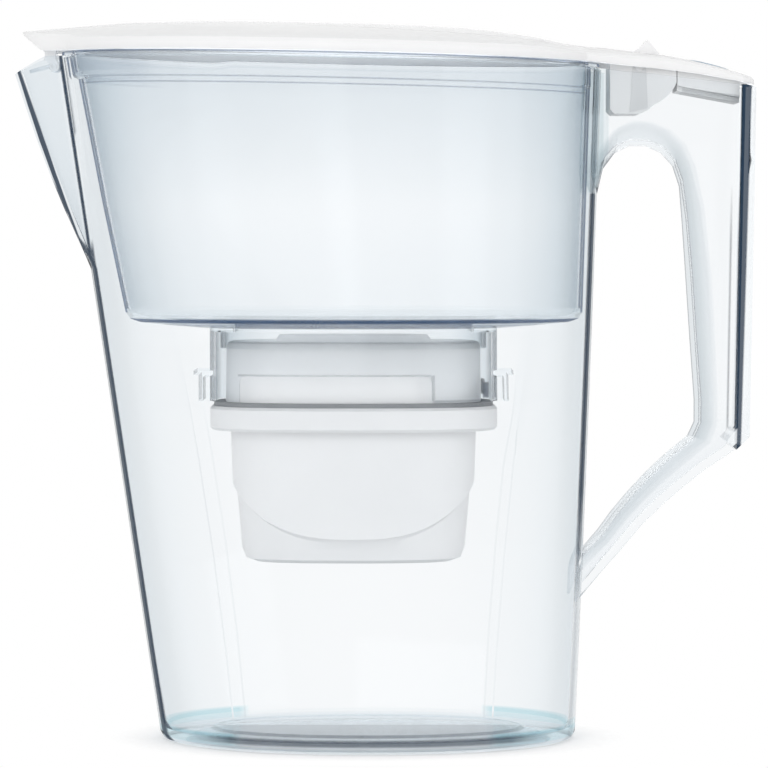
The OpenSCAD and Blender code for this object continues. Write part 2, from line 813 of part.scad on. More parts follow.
// Height of the lid's middle line above the straight edge line
function crown_at(x) =
  x < crown_x
    ? lerp(crown_height, nose_height, pow(clamp01((crown_x - x) / crown_front), 3))
    : lerp(crown_height, tail_height, pow(clamp01((x - crown_x) / crown_rear), 4))
      - taper_drop * pow(max(0, (x - taper_start) / taper_length), 1.5);
function ridge_at(x) = edge_at(x) + crown_at(x);
lid_band = 4.3;
function band_at(x) = min(lid_band, 0.5 * (ridge_at(x) - lid_edge(x)));
lid_left = -(rim_left + lid_overhang);
lid_right = rim_right + lid_overhang;
lid_half = rim_half + lid_overhang;
tail_half = handle_half + lid_overhang;
tail_end = handle_reach;
shoulder_half = 22;
function lid_spread(x) =
  let (u = (2 * x - lid_left - lid_right) / (lid_right - lid_left))
  max(shoulder_half, lid_half * pow(max(0, 1 - pow(abs(u), plan_power)), 1 / plan_power));
// The lid's top surface
function lid_top(x, y) =
  let (base = lid_edge(x) + band_at(x))
  lerp(ridge_at(x), base, min(1, pow(y / lid_spread(x), 2)));
function lid_thickness(x) = min(lid_wall, 0.4 * (ridge_at(x) - lid_edge(x)));

// An oval with a straight tongue on its right and a nose on its left
function keyhole(left, right, half, tongue_end, tongue_half, root_half, corner, nose_width, reach) =
  let (
    t0 = angle_of_y(half, plan_power, root_half),
    t1 = 180 - angle_of_y(half, plan_power, nose_width),
    root = oval_at(left, right, half, plan_power, t0),
    upper = concat(
      [
        for (k = [1:corner_steps])
          let (a = 90 * k / corner_steps)
          [tongue_end - corner * (1 - cos(a)), tongue_half * pow(sin(a), 0.8)]
      ],
      [
        for (k = [1:side_steps - 1])
          let (s = k / side_steps)
          [
            lerp(tongue_end - corner, root[0], s),
            lerp(tongue_half, root_half, smooth(clamp01(2.2 * s - 1.2)))
          ]
      ],
      [for (k = [0:arc_steps]) oval_at(left, right, half, plan_power, lerp(t0, t1, k / arc_steps))],
      [
        for (k = [1:nose_steps])
          let (s = 1 - k / (nose_steps + 1), y = nose_width * s)
          [left + right - end_x(left, right, half, plan_power, y) - reach * (1 - s * s), y]
      ]
    )
  )
  concat([[tongue_end, 0]], upper, [[left - reach, 0]], mirrored(upper));
function lid_outline(d) =
  keyhole(
    lid_left + d, lid_right - d, lid_half - d, tail_end - d, tail_half - d, tail_half + 5 - d,
    5, nose_half - d, nose_reach - 0.4 * d
  );
// The slot ends this far behind the hinge axis, and the flap's tongue that much sooner
slot_reach = 11.7;
tongue_gap = 1.6;
slot_end = hinge_x + slot_reach;
// The opening, inset by d round the oval, by side along the slot and by back at the slot's end
function opening_outline(d, side = 0, back = 0) =
  keyhole(
    -opening_front + d, opening_rear - d, opening_half - d, slot_end - back,
    slot_half - side, slot_half + 1.6 - side, 2, 12, 0
  );
function on_lid(points, drop) = [for (p = points) [p[0], p[1], lid_top(p[0], p[1]) - drop]];
function under_lid(points) =
  [for (p = points) [p[0], p[1], lid_top(p[0], p[1]) - lid_thickness(p[0])]];
function between(a, b, t) = [for (i = [0:len(a) - 1]) a[i] + (b[i] - a[i]) * t];
function lid_edge_ring(points) = [for (p = points) [p[0], p[1], lid_edge(p[0])]];
function lid_side_ring(points, share) =
  [for (p = points) [p[0], p[1], lerp(lid_edge(p[0]), lid_top(p[0], p[1]), share)]];
ledge = 2.4;
ledge_thickness = 1.6;
ledge_gap = 0.55;
flap_thickness = 2;
// The ledge under the flap is left out along the slot, where the wall is plain
function rim_depth(x, full, slim) = lerp(full, slim, smooth(clamp01((x - 71) / 8)));
function ledge_ring(points, share) =
  [
    for (p = points)
      [
        p[0], p[1],
        lid_top(p[0], p[1])
        - rim_depth(
          p[0],
          flap_thickness + ledge_gap + ledge_thickness * share,
          lerp(lid_thickness(p[0]) - 0.5, lid_thickness(p[0]), share)
        )
      ]
  ];

module lid_shell() {
  outer = lid_outline(0);
  shoulder = lid_outline(2.6);
  inner = lid_outline(lid_wall + 1);
  hole = opening_outline(0);
  color("white")
    difference() {
      ring_loft([
        lid_edge_ring(outer),
        lid_side_ring(outer, 0.62),
        lid_side_ring(lid_outline(0.7), 0.9),
        on_lid(shoulder, 0),
        on_lid(between(shoulder, hole, 0.35), 0),
        on_lid(between(shoulder, hole, 0.7), 0),
        on_lid(hole, 0),
        ledge_ring(hole, 0),
        ledge_ring(opening_outline(ledge, 0.05, 0.05), 0),
        ledge_ring(opening_outline(ledge, 0.05, 0.05), 1),
        ledge_ring(between(hole, shoulder, 0.08), 1),
        under_lid(between(hole, shoulder, 0.16)),
        under_lid(between(hole, shoulder, 0.55)),
        under_lid(inner),
        lid_edge_ring(lid_outline(lid_wall))
      ]);
      dial_place()
        cylinder(h = dial_cut, r = dial_radius + dial_gap, center = true, $fn = 64);
    }
}

// ---- Spout flap ----------------------------------------------------------------------------

spout_pin_x = -(rim_left + 1.7);
spout_pin_z = edge_at(spout_pin_x) - 5.4;
spout_pin_radius = 0.9;
bracket_half = 5;
bracket_ear = 1.1;
bracket_clear = 3.8;
// The neck under the lid's nose that holds the spout flap's pin between two ears
module spout_bracket() {
  front = spout_pin_x - 3.5;
  rear = spout_pin_x + 0.4;
  top = lid_top(front, bracket_half) - lid_thickness(front) - seat;
  rear_top = lid_top(rear, bracket_half) - lid_thickness(rear) - seat;
  ear = spout_pin_radius + running + 0.8;
  color("white")
    difference() {
      rotate([90, 0, 0])
        linear_extrude(2 * bracket_half, center = true)
          union() {
            polygon([
              [front, top],
              [front, spout_pin_z + 2.2],
              [spout_pin_x - ear, spout_pin_z + 1.1],
              [spout_pin_x - ear, spout_pin_z],
              [spout_pin_x + ear, spout_pin_z],
              [spout_pin_x + ear, spout_pin_z + 1.1],
              [rear, spout_pin_z + 2.4],
              [rear, rear_top]
            ]);
            translate([spout_pin_x, spout_pin_z])
              circle(r = ear, $fn = 48);
          }
      translate([spout_pin_x - 5, -bracket_half + bracket_ear, spout_pin_z - 5])
        cube([10, 2 * (bracket_half - bracket_ear), 5 + bracket_clear]);
      translate([spout_pin_x, 0, spout_pin_z])
        rotate([90, 0, 0])
          cylinder(h = 3 * bracket_half, r = spout_pin_radius + running, center = true, $fn = 48);
    }
}
module spout_flap_pin() {
  color("silver")
    translate([spout_pin_x, 0, spout_pin_z])
      rotate([90, 0, 0])
        cylinder(h = 2 * bracket_half - 0.2, r = spout_pin_radius, center = true, $fn = 48);
}
flap_side_gap = 0.8;
flap_drop = 2.4;
// The flap that closes the spout: a plate of the spout's own inner outline on a hub
module spout_flap() {
  hub = 2;
  hub_half = bracket_half - bracket_ear - 0.3;
  root_x = spout_pin_x - hub + 0.5;
  plate_z = spout_pin_z + 0.4;
  level = plate_z - flap_drop;
  neck_x = spout_pin_x - 4.2;
  plate_points = [
    for (p = jug_outline(level, jug_wall + flap_side_gap, 0)) if (p[0] < neck_x) p - [root_x, 0]
  ];
  plate_drop = atan(flap_drop / (root_x + rim_left + spout_reach - 4));
  color("lightblue")
    difference() {
      union() {
        translate([spout_pin_x, 0, spout_pin_z])
          rotate([90, 0, 0])
            cylinder(h = 2 * hub_half, r = hub, center = true, $fn = 48);
        translate([root_x, 0, plate_z])
          rotate([0, -plate_drop, 0])
            translate([0, 0, -0.6])
              linear_extrude(1.2)
                polygon(concat(
                  [[0.6, hub_half], [neck_x - root_x + 0.4, hub_half]],
                  plate_points,
                  [[neck_x - root_x + 0.4, -hub_half], [0.6, -hub_half]]
                ));
      }
      translate([spout_pin_x, 0, spout_pin_z])
        rotate([90, 0, 0])
          cylinder(h = 4 * hub_half, r = spout_pin_radius + running, center = true, $fn = 48);
    }
}

// ---- Filling flap --------------------------------------------------------------------------

hinge_z = lid_top(hinge_x, 0) - hinge_depth;
trunnion_radius = 1.5;
barrel_radius = 2.2;
pocket_wall = 1.5;
pocket_gap = 0.35;
barrel_half = slot_half - pocket_gap;
top_spread = [0.88, 0.76, 0.63, 0.49, 0.34, 0.17];
under_spread = [0.9, 0.7, 0.4];
module fill_flap() {
  center_x = (opening_rear - opening_front) / 2;
  rim = opening_outline(flap_gap, flap_gap, tongue_gap);
  top_rim = opening_outline(flap_gap + 0.5, flap_gap + 0.4, tongue_gap + 0.4);
  mid = [center_x, 0];
  middle = [for (p = rim) mid];
  color("whitesmoke")
    union() {
      pointed_loft(
        [mid[0], mid[1], lid_top(mid[0], mid[1]) - flap_thickness],
        concat(
          [for (t = reversed(under_spread)) on_lid(between(middle, rim, t), flap_thickness)],
          [
            on_lid(rim, flap_thickness),
            on_lid(rim, 0.5),
            on_lid(top_rim, 0)
          ],
          [for (t = top_spread) on_lid(between(middle, top_rim, t), 0)]
        ),
        [mid[0], mid[1], lid_top(mid[0], mid[1])]
      );
      thumb_tab();
      hinge_barrel();
    }
}
// The barrel under the tongue, the web above it and the trunnions on its ends
module hinge_barrel() {
  translate([hinge_x, 0, hinge_z])
    rotate([90, 0, 0]) {
      linear_extrude(2 * barrel_half, center = true)
        union() {
          circle(r = barrel_radius, $fn = 48);
          translate([-barrel_radius, 0])
            square([2 * barrel_radius, hinge_depth - 1.2]);
        }
      cylinder(h = 2 * (slot_half + pocket_wall - 0.1), r = trunnion_radius, center = true, $fn = 48);
    }
}
// The tab that the thumb presses: hollow towards the front, steep towards the handle
module thumb_tab() {
  root = lid_top(hinge_x, 0) - 1.2;
  peak = lid_top(hinge_x, 0) + tab_height;
  front = hinge_x - 3;
  tip = hinge_x + 3.2;
  back = hinge_x + 7.4;
  steps = 6;
  rotate([90, 0, 0])
    linear_extrude(13, center = true)
      polygon(concat(
        [[front, root]],
        [
          for (i = [0:steps])
            let (t = i / steps)
            [lerp(front, tip - 0.6, t), lerp(root + 1.1, peak - 0.2, t * t)]
        ],
        [[tip, peak], [tip + 0.6, peak - 0.4], [back, root + 0.4], [back, root - 0.4]]
      ));
}
// The pocket under the lid that the tab turns down into, and that carries the trunnions
pocket_swing = 14.4;
pocket_rear = slot_reach + pocket_wall;
// Height of the tapered rib on each side of the pocket, over the hinge
pocket_rib = 0.35;
pocket_front = lid_right + 1.9 - hinge_x;
pocket_low = -16.7;
module flap_pocket() {
  outer_half = slot_half + pocket_wall;
  color("lightgray")
    difference() {
      union() {
        rotate([90, 0, 0])
          linear_extrude(2 * outer_half, center = true)
            translate([hinge_x, hinge_z])
              pocket_profile(0, 0);
        rotate([90, 0, 0])
          linear_extrude(2 * (outer_half + pocket_rib), center = true)
            translate([hinge_x, hinge_z])
              polygon([
                [-2.2, under_at(-2.2)],
                [-3.4, pocket_low + 0.4],
                [3, pocket_low + 2],
                [2.2, under_at(2.2)]
              ]);
      }
      rotate([90, 0, 0])
        linear_extrude(2 * slot_half, center = true)
          translate([hinge_x, hinge_z])
            pocket_profile(pocket_wall, 5);
      translate([hinge_x, 0, hinge_z])
        rotate([90, 0, 0])
          cylinder(h = 4 * outer_half, r = trunnion_radius + running, center = true, $fn = 48);
    }
}
// Height of the lid's underside above the hinge axis, at the pocket's side
function under_at(x) =
  lid_top(hinge_x + x, slot_half + pocket_wall) - lid_thickness(hinge_x + x) - seat - hinge_z;
module pocket_profile(inset, lift) {
  radius = pocket_swing - inset;
  rear = pocket_rear - inset;
  start = -acos((5.5 - 0.4 * inset) / radius);
  finish = -acos(rear / radius);
  steps = 9;
  polygon(concat(
    [
      [pocket_front + inset, under_at(pocket_front) + lift],
      [pocket_front + inset, pocket_low + inset + 1.5],
      [pocket_front + inset + 1.5, pocket_low + inset],
      [0, pocket_low + inset],
      [3 - 0.4 * inset, pocket_low + inset + 1.3]
    ],
    [
      for (i = [0:steps])
        let (a = lerp(start, finish, i / steps))
        [radius * cos(a), radius * sin(a)]
    ],
    [[rear, under_at(pocket_rear) + lift], [0.5 * pocket_rear, under_at(0.5 * pocket_rear) + lift]]
  ));
}

// ---- Month dial ----------------------------------------------------------------------------

dial_gap = 0.3;
dial_thickness = 1.6;
// Length of a cut that passes right through the lid or the housing
dial_cut = 3 * dial_radius;
dial_tilt = atan((ridge_at(dial_x - 6) - ridge_at(dial_x + 6)) / 12);
module dial_place() {
  translate([dial_x, 0, ridge_at(dial_x)])
    rotate([0, dial_tilt, 0])
      children();
}
spindle_radius = 1.8;
housing_half = handle_half - handle_wall - 1.4;
housing_front = hinge_x + pocket_rear + seat;
housing_rear = handle_reach - 5.9;
// The housing hangs this far below the lid's edge at its front and at its rear
housing_hang = [6.9, 7.3];
housing_chamfer = 1.8;
function housing_top(x) = lid_top(x, housing_half) - lid_thickness(x) - 2 * seat;
function housing_low(x) =
  let (t = (x - housing_front) / (housing_rear - housing_front))
  lerp(edge_at(housing_front) - housing_hang[0], edge_at(housing_rear) - housing_hang[1], t);
module housing_block(half, rise) {
  stations = [for (k = [0:4]) lerp(housing_front, housing_rear, k / 4)];
  rotate([90, 0, 0])
    linear_extrude(2 * half, center = true)
      polygon(concat(
        [for (x = stations) [x, housing_top(x)]],
        [
          [housing_rear, housing_low(housing_rear) + rise],
          [housing_front, housing_low(housing_front) + rise]
        ]
      ));
}
module dial_housing() {
  floor_z = (housing_low(dial_x) - ridge_at(dial_x)) * cos(dial_tilt) + 2.2;
  color("gainsboro")
    difference() {
      union() {
        housing_block(housing_half, housing_chamfer);
        housing_block(housing_half - housing_chamfer, 0);
      }
      dial_place() {
        difference() {
          translate([0, 0, floor_z])
            cylinder(h = dial_cut, r = dial_radius + dial_gap, $fn = 64);
          translate([0, 0, floor_z - 1])
            cylinder(h = 1 - dial_thickness - seat - floor_z, r = spindle_radius + 1.4, $fn = 48);
        }
        translate([0, 0, floor_z + 0.6])
          cylinder(h = dial_cut, r = spindle_radius + running, $fn = 48);
      }
    }
}
module month_dial() {
  spindle = 6;
  color("lightsteelblue")
    dial_place()
      translate([0, 0, -dial_thickness])
        union() {
          difference() {
            cylinder(h = dial_thickness, r = dial_radius, $fn = 64);
            translate([0, 0, dial_thickness - 0.5])
              linear_extrude(1)
                square([2 * dial_radius - 4, 1.4], center = true);
          }
          translate([0, 0, -spindle])
            cylinder(h = spindle + 0.2, r = spindle_radius, $fn = 48);
        }
}

jug_body();
handle();
hopper();
cartridge_collar();
cartridge_seal();
cartridge_shell();
cartridge_cap();
inlet_screen();
outlet_screen();
carbon_bed();
resin_bed();
separator_pad();
lid_shell();
flap_pocket();
fill_flap();
spout_bracket();
spout_flap();
spout_flap_pin();
dial_housing();
month_dial();
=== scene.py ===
"""Water filter pitcher with a flip lid, dressed on its CAD frame."""

import json
import logging
import math
from dataclasses import dataclass, field
from enum import Enum
from typing import Iterable, Optional, Sequence, Union

import bmesh
import bpy
from mathutils import Matrix, Vector


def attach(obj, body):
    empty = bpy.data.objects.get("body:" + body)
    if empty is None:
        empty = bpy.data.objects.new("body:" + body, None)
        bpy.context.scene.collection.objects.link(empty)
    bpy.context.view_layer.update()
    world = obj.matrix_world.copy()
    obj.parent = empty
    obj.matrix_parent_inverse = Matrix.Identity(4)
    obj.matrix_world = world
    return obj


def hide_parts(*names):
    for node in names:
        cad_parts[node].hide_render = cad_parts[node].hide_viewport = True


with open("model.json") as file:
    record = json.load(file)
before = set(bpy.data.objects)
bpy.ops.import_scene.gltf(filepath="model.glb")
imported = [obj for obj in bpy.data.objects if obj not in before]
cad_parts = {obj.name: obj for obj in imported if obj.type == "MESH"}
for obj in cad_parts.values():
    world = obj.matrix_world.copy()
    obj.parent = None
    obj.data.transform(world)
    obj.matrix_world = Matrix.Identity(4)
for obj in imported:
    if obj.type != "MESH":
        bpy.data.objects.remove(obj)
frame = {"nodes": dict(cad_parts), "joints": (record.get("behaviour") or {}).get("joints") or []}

LOG = logging.getLogger("pitcher")
MM = 0.001
WELD = 0.002 * MM
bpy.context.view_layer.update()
Number = Union[int, float]
Colour = tuple[float, float, float]
# Directions along which the finishes are measured: the first three are the frame's axes, and the
# others lean as the jug's walls, rim and spout, the handle's outer wall and the dial housing do
AHEAD, ACROSS, UP = (1.0, 0.0, 0.0), (0.0, 1.0, 0.0), (0.0, 0.0, 1.0)
LEFT_WALL, RIGHT_WALL, RIM = (1.0, 0.0, 0.1465), (1.0, 0.0, -0.0363), (0.0218, 0.0, 1.0)
SPOUT_RIDGE, HOUSING = (1.0, 0.0, 0.352), (0.122, 0.0, 1.0)
HANDLE_WALL, BAND_START, BAND_END = (1.0, 0.0, -0.014), (1.0, 0.0, -0.0114), (1.0, 0.0, -0.026)


# ---- Shader graphs -------------------------------------------------------------------------


class Wire:
    """A shader socket that can be used in Python sums."""

    def __init__(self, graph: "Graph", socket: bpy.types.NodeSocket) -> None:
        """Keeps the graph and the socket."""
        self.graph = graph
        self.socket = socket

    def _math(self, operation: str, *values: Union["Wire", Number]) -> "Wire":
        """Adds a Math node.

        Args:
            operation: the Math node's operation.
            values: its inputs, wires or numbers.

        Returns:
            The node's result.
        """
        return self.graph.add(
            "ShaderNodeMath", {"operation": operation}, dict(enumerate(values))
        )

    def __add__(self, other: Union["Wire", Number]) -> "Wire":
        """Sum."""
        return self._math("ADD", self, other)

    def __radd__(self, other: Number) -> "Wire":
        """Sum with a number on the left."""
        return self._math("ADD", other, self)

    def __sub__(self, other: Union["Wire", Number]) -> "Wire":
        """Difference."""
        return self._math("SUBTRACT", self, other)

    def __rsub__(self, other: Number) -> "Wire":
        """Difference from a number."""
        return self._math("SUBTRACT", other, self)

    def __mul__(self, other: Union["Wire", Number]) -> "Wire":
        """Product."""
        return self._math("MULTIPLY", self, other)

    def __rmul__(self, other: Number) -> "Wire":
        """Product with a number on the left."""
        return self._math("MULTIPLY", other, self)

    def __truediv__(self, other: Union["Wire", Number]) -> "Wire":
        """Quotient."""
        return self._math("DIVIDE", self, other)

    def __rtruediv__(self, other: Number) -> "Wire":
        """Quotient of a number."""
        return self._math("DIVIDE", other, self)

    def __pow__(self, other: Union["Wire", Number]) -> "Wire":
        """Power."""
        return self._math("POWER", self, other)

    def __neg__(self) -> "Wire":
        """Negative."""
        return self._math("MULTIPLY", self, -1.0)

    def largest(self, other: Union["Wire", Number]) -> "Wire":
        """The larger of the two."""
        return self._math("MAXIMUM", self, other)

    def part(self, name: str) -> "Wire":
        """Another output of the same node."""
        return Wire(self.graph, self.socket.node.outputs[name])


class Graph:
    """Builds one material's or one world's nodes."""

    def __init__(self, tree: bpy.types.NodeTree) -> None:
        """Empties the tree."""
        self.tree = tree
        tree.nodes.clear()

    def add(
        self,
        kind: str,
        settings: Optional[dict[str, object]] = None,
        inputs: Optional[dict[Union[str, int], object]] = None,
        output: Union[str, int] = 0,
    ) -> Wire:
        """Adds a node.

        Args:
            kind: the node's type.
            settings: its properties, set first; "stops" fills a colour ramp.
            inputs: values or wires of its sockets, by name or place.
            output: the output that is handed back.

        Returns:
            That output.
        """
        node = self.tree.nodes.new(kind)
        for name, value in (settings or {}).items():
            if name == "stops":
                ramp = node.color_ramp
                while len(ramp.elements) < len(value):
                    ramp.elements.new(0.5)
                for element, (place, colour) in zip(ramp.elements, value):
                    element.position = place
                    element.color = (*colour, 1.0)
            else:
                setattr(node, name, value)
        for name, value in (inputs or {}).items():
            socket = node.inputs[name]
            if isinstance(value, Wire):
                self.tree.links.new(value.socket, socket)
            elif isinstance(value, tuple) and len(value) == 3 and socket.type == "RGBA":
                socket.default_value = (*value, 1.0)
            else:
                socket.default_value = value
        return Wire(self, node.outputs[output]) if len(node.outputs) else Wire(self, None)

    def place(self) -> Wire:
        """Object coordinates."""
        return self.add("ShaderNodeTexCoord", output="Object")

    def noise(self, scale: float, detail: float = 3.0, rough: float = 0.5) -> Wire:
        """Noise on object coordinates.

        Args:
            scale: its scale, in cycles per metre.
            detail: octaves.
            rough: how rough it is.

        Returns:
            The noise, 0 to 1.
        """
        return self.add(
            "ShaderNodeTexNoise",
            None,
            {"Vector": self.place(), "Scale": scale, "Detail": detail, "Roughness": rough},
            "Fac",
        )

    def blend(self, factor: Union[Wire, float], low: object, high: object) -> Wire:
        """Mixes two colours.

        Args:
            factor: 0 gives low and 1 gives high.
            low: a colour or a wire.
            high: a colour or a wire.

        Returns:
            The colour.
        """
        node = self.tree.nodes.new("ShaderNodeMix")
        node.data_type = "RGBA"
        for index, value in ((0, factor), (6, low), (7, high)):
            socket = node.inputs[index]
            if isinstance(value, Wire):
                self.tree.links.new(value.socket, socket)
            elif isinstance(value, tuple):
                socket.default_value = (*value, 1.0)
            else:
                socket.default_value = value
        return Wire(self, node.outputs[2])

    def product(self, low: Wire, high: Colour) -> Wire:
        """Multiplies a colour by a tint."""
        node = self.tree.nodes.new("ShaderNodeMix")
        node.data_type, node.blend_type = "RGBA", "MULTIPLY"
        node.inputs[0].default_value = 1.0
        self.tree.links.new(low.socket, node.inputs[6])
        node.inputs[7].default_value = (*high, 1.0)
        return Wire(self, node.outputs[2])

    def dot(self, wire: Wire, direction: Colour) -> Wire:
        """Measures a vector along a direction."""
        return self.add(
            "ShaderNodeVectorMath", {"operation": "DOT_PRODUCT"}, {0: wire, 1: direction}, "Value"
        )

    def ramp(self, factor: Wire, stops: Sequence[tuple[float, Colour]]) -> Wire:
        """Maps a value to colours."""
        return self.add("ShaderNodeValToRGB", {"stops": stops}, {"Fac": factor}, "Color")

    def spread(
        self, value: Wire, low: float, high: float, start: float = 0.0, end: float = 1.0
    ) -> Wire:
        """Maps a value from start..end to low..high, clamped."""
        ends = {"From Min": start, "From Max": end, "To Min": low, "To Max": high}
        return self.add("ShaderNodeMapRange", None, {"Value": value, **ends}, "Result")

    def bump(self, height: Wire, depth: float) -> Wire:
        """A Bump node of a depth in metres."""
        return self.add(
            "ShaderNodeBump", None, {"Height": height, "Distance": depth, "Strength": 1.0}
        )


def material(name: str) -> tuple[bpy.types.Material, Graph]:
    """Makes an empty material with nodes.

    Args:
        name: its name.

    Returns:
        The material and its graph.
    """
    made = bpy.data.materials.new(name)
    made.use_nodes = True
    return made, Graph(made.node_tree)


# ---- Finishes ------------------------------------------------------------------------------


@dataclass(frozen=True)
class Slab:
    """The space between two places along one direction of a piece's own coordinates."""

    direction: Colour
    start: float = -1.0
    end: float = 1.0
    blur: float = 0.0003

    def inside(self, graph: "Graph") -> Wire:
        """1 between the two places and 0 outside them."""
        along = graph.dot(graph.place(), self.direction)
        low = graph.spread(along, 0.0, 1.0, self.start - self.blur, self.start + self.blur)
        return low * graph.spread(along, 1.0, 0.0, self.end - self.blur, self.end + self.blur)


@dataclass(frozen=True)
class Zone:
    """The part of a piece where some slabs meet, with a tint or a weight of its own."""

    slabs: tuple[Slab, ...]
    tint: Colour = (1.0, 1.0, 1.0)
    weight: float = 1.0

    def inside(self, graph: "Graph") -> Wire:
        """The zone's weight inside it and 0 outside it."""
        wire = self.slabs[0].inside(graph)
        for slab in self.slabs[1:]:
            wire = wire * slab.inside(graph)
        return wire * self.weight


def tinted(graph: Graph, colour: Wire, zones: Iterable[Zone]) -> Wire:
    """Tints a colour in each zone."""
    for zone in zones:
        colour = graph.blend(zone.inside(graph), colour, graph.product(colour, zone.tint))
    return colour


@dataclass(frozen=True)
class ClearPlastic:
    """Clear moulded plastic with painted shade: pale when seen flat, greyer when oblique, dark
    near its edges.
    """

    name: str = "clear_plastic"
    # Colours by how obliquely a face is seen: painted shade that greys upright faces towards their
    # silhouettes.
    stops: tuple[tuple[float, Colour], ...] = (
        (0.0, (0.972, 0.979, 0.984)),
        (0.25, (0.925, 0.943, 0.955)),
        (0.42, (0.872, 0.893, 0.906)),
        (0.75, (0.84, 0.87, 0.89)),
    )
    level: Colour = (0.955, 0.968, 0.976)
    # The painted shade at silhouettes: its dark colour, the facing values where it rises and
    # fades, and its strength.
    edge_shade: Colour = (0.022, 0.042, 0.072)
    edge_shade_places: tuple[float, float, float, float] = (0.64, 0.69, 0.785, 0.825)
    edge_shade_weight: float = 0.88
    fringe: float = 0.10
    middle: Optional[float] = None
    index: float = 1.06
    density: float = 6.0
    body: Colour = (0.72, 0.84, 0.92)
    rough_low: float = 0.02
    rough_high: float = 0.06
    ripple: float = 0.00004
    coat: float = 0.15
    zones: tuple[Zone, ...] = ()
    # Painted dark lines in the dark shade colour; quiet zones get less of the painted silhouette
    # shade, pale zones none of the painted grey.
    shade_lines: tuple[Zone, ...] = ()
    quiet: tuple[Zone, ...] = ()
    pale: tuple[Zone, ...] = ()
    level_slope: tuple[float, float] = (0.25, 0.5)
    level_clear: float = 0.8
    clear: Colour = (0.945, 0.958, 0.966)

    def outside(self, graph: Graph) -> Wire:
        """1 on the faces that look away from the piece's middle line."""
        middle = graph.dot(graph.place(), AHEAD) - self.middle
        across = graph.dot(graph.place(), ACROSS)
        normal = graph.add("ShaderNodeTexCoord", output="Normal")
        away = middle * graph.dot(normal, AHEAD) + across * graph.dot(normal, ACROSS)
        return graph.spread(away, 0.0, 1.0, -MM, MM)

    def make(self) -> bpy.types.Material:
        """Builds the material."""
        made, graph = material(self.name)
        facing = graph.add("ShaderNodeLayerWeight", None, {"Blend": 0.5}, "Facing")
        normal = graph.add("ShaderNodeTexCoord", output="Normal")
        slope = graph.dot(normal, UP)
        upright = graph.spread(slope * slope, 1.0, 0.0, *self.level_slope)
        colour = graph.blend(upright, self.level, graph.ramp(facing, self.stops))
        for zone in self.pale:
            colour = graph.blend(zone.inside(graph), colour, self.stops[0][1])
        colour = tinted(graph, colour, self.zones)
        haze = graph.noise(26.0, 2.0)
        ripple = graph.bump(graph.noise(34.0, 1.0), self.ripple)
        shader = graph.add(
            "ShaderNodeBsdfPrincipled",
            None,
            {
                "Base Color": colour,
                "Roughness": graph.spread(haze, self.rough_low, self.rough_high, 0.3, 0.7),
                "IOR": self.index,
                "Transmission Weight": 1.0,
                "Coat Weight": self.coat,
                "Coat Roughness": 0.05,
                "Coat IOR": 1.5,
                "Normal": ripple,
            },
        )
        # Dark shader that paints the shade at silhouettes and along the painted dark lines.
        rim = graph.add(
            "ShaderNodeBsdfPrincipled",
            None,
            {
                "Base Color": graph.blend(haze, self.edge_shade, tuple(1.3 * v for v in self.edge_shade)),
                "Roughness": 0.3,
                "IOR": 1.05,
                "Normal": ripple,
            },
        )
        start, full, fade, end = self.edge_shade_places
        rise = graph.spread(facing, 0.0, self.edge_shade_weight, start, full)
        fall = graph.spread(facing, 0.0, self.edge_shade_weight - self.fringe, fade, end)
        weight = (rise - fall) * upright
        for zone in self.quiet:
            weight = weight * (1.0 - zone.inside(graph))
        clearness = (1.0 - upright) * self.level_clear
        for line in self.shade_lines:
            drawn = line.inside(graph)
            weight = weight.largest(drawn)
            clearness = clearness * (1.0 - drawn)
        if self.middle is not None:
            weight = weight * self.outside(graph)
        both = graph.add("ShaderNodeMixShader", None, {0: weight, 1: shader, 2: rim})
        clear = graph.add("ShaderNodeBsdfTransparent", None, {"Color": self.clear})
        both = graph.add("ShaderNodeMixShader", None, {0: clearness, 1: both, 2: clear})
        volume = graph.add(
            "ShaderNodeVolumeAbsorption", None, {"Color": self.body, "Density": self.density}
        )
        graph.add("ShaderNodeOutputMaterial", None, {"Surface": both, "Volume": volume})
        return made


@dataclass(frozen=True)
class GlossPlastic:
    """Opaque glossy plastic with a faint moulding ripple and handling haze, and a glow of painted
    light on its faces that look down.
    """

    name: str
    low: Colour
    high: Colour
    rough_low: float = 0.16
    rough_high: float = 0.26
    coat: float = 0.25
    grain: float = 0.000006
    soft: float = 0.4
    # Strength of the painted light on the faces that look down.
    glow: float = 0.0

    def make(self) -> bpy.types.Material:
        """Builds the material."""
        made, graph = material(self.name)
        cloud = graph.noise(18.0, 3.0)
        haze = graph.noise(90.0, 4.0, 0.6)
        fine = graph.noise(900.0, 2.0)
        patch = graph.spread(cloud, 0.0, 1.0, 0.35, 0.65)
        normal = graph.add("ShaderNodeTexCoord", output="Normal")
        # Faces that look down, which get the painted glow.
        under = graph.spread(graph.dot(normal, UP), 1.0, 0.0, -0.9, -0.5)
        shader = graph.add(
            "ShaderNodeBsdfPrincipled",
            None,
            {
                "Base Color": graph.blend(patch, self.low, self.high),
                "Roughness": graph.spread(haze, self.rough_low, self.rough_high, 0.3, 0.7),
                "IOR": 1.5,
                "Coat Weight": self.coat,
                "Coat Roughness": 0.06,
                "Subsurface Weight": self.soft,
                "Subsurface Radius": (0.006, 0.006, 0.006),
                "Subsurface Scale": 1.0,
                "Emission Color": graph.blend(under, (0.0, 0.0, 0.0), (0.93, 0.96, 1.0)),
                "Emission Strength": self.glow,
                "Normal": graph.bump(fine + 6.0 * graph.noise(22.0, 1.0), self.grain),
            },
        )
        graph.add("ShaderNodeOutputMaterial", None, {"Surface": shader})
        return made


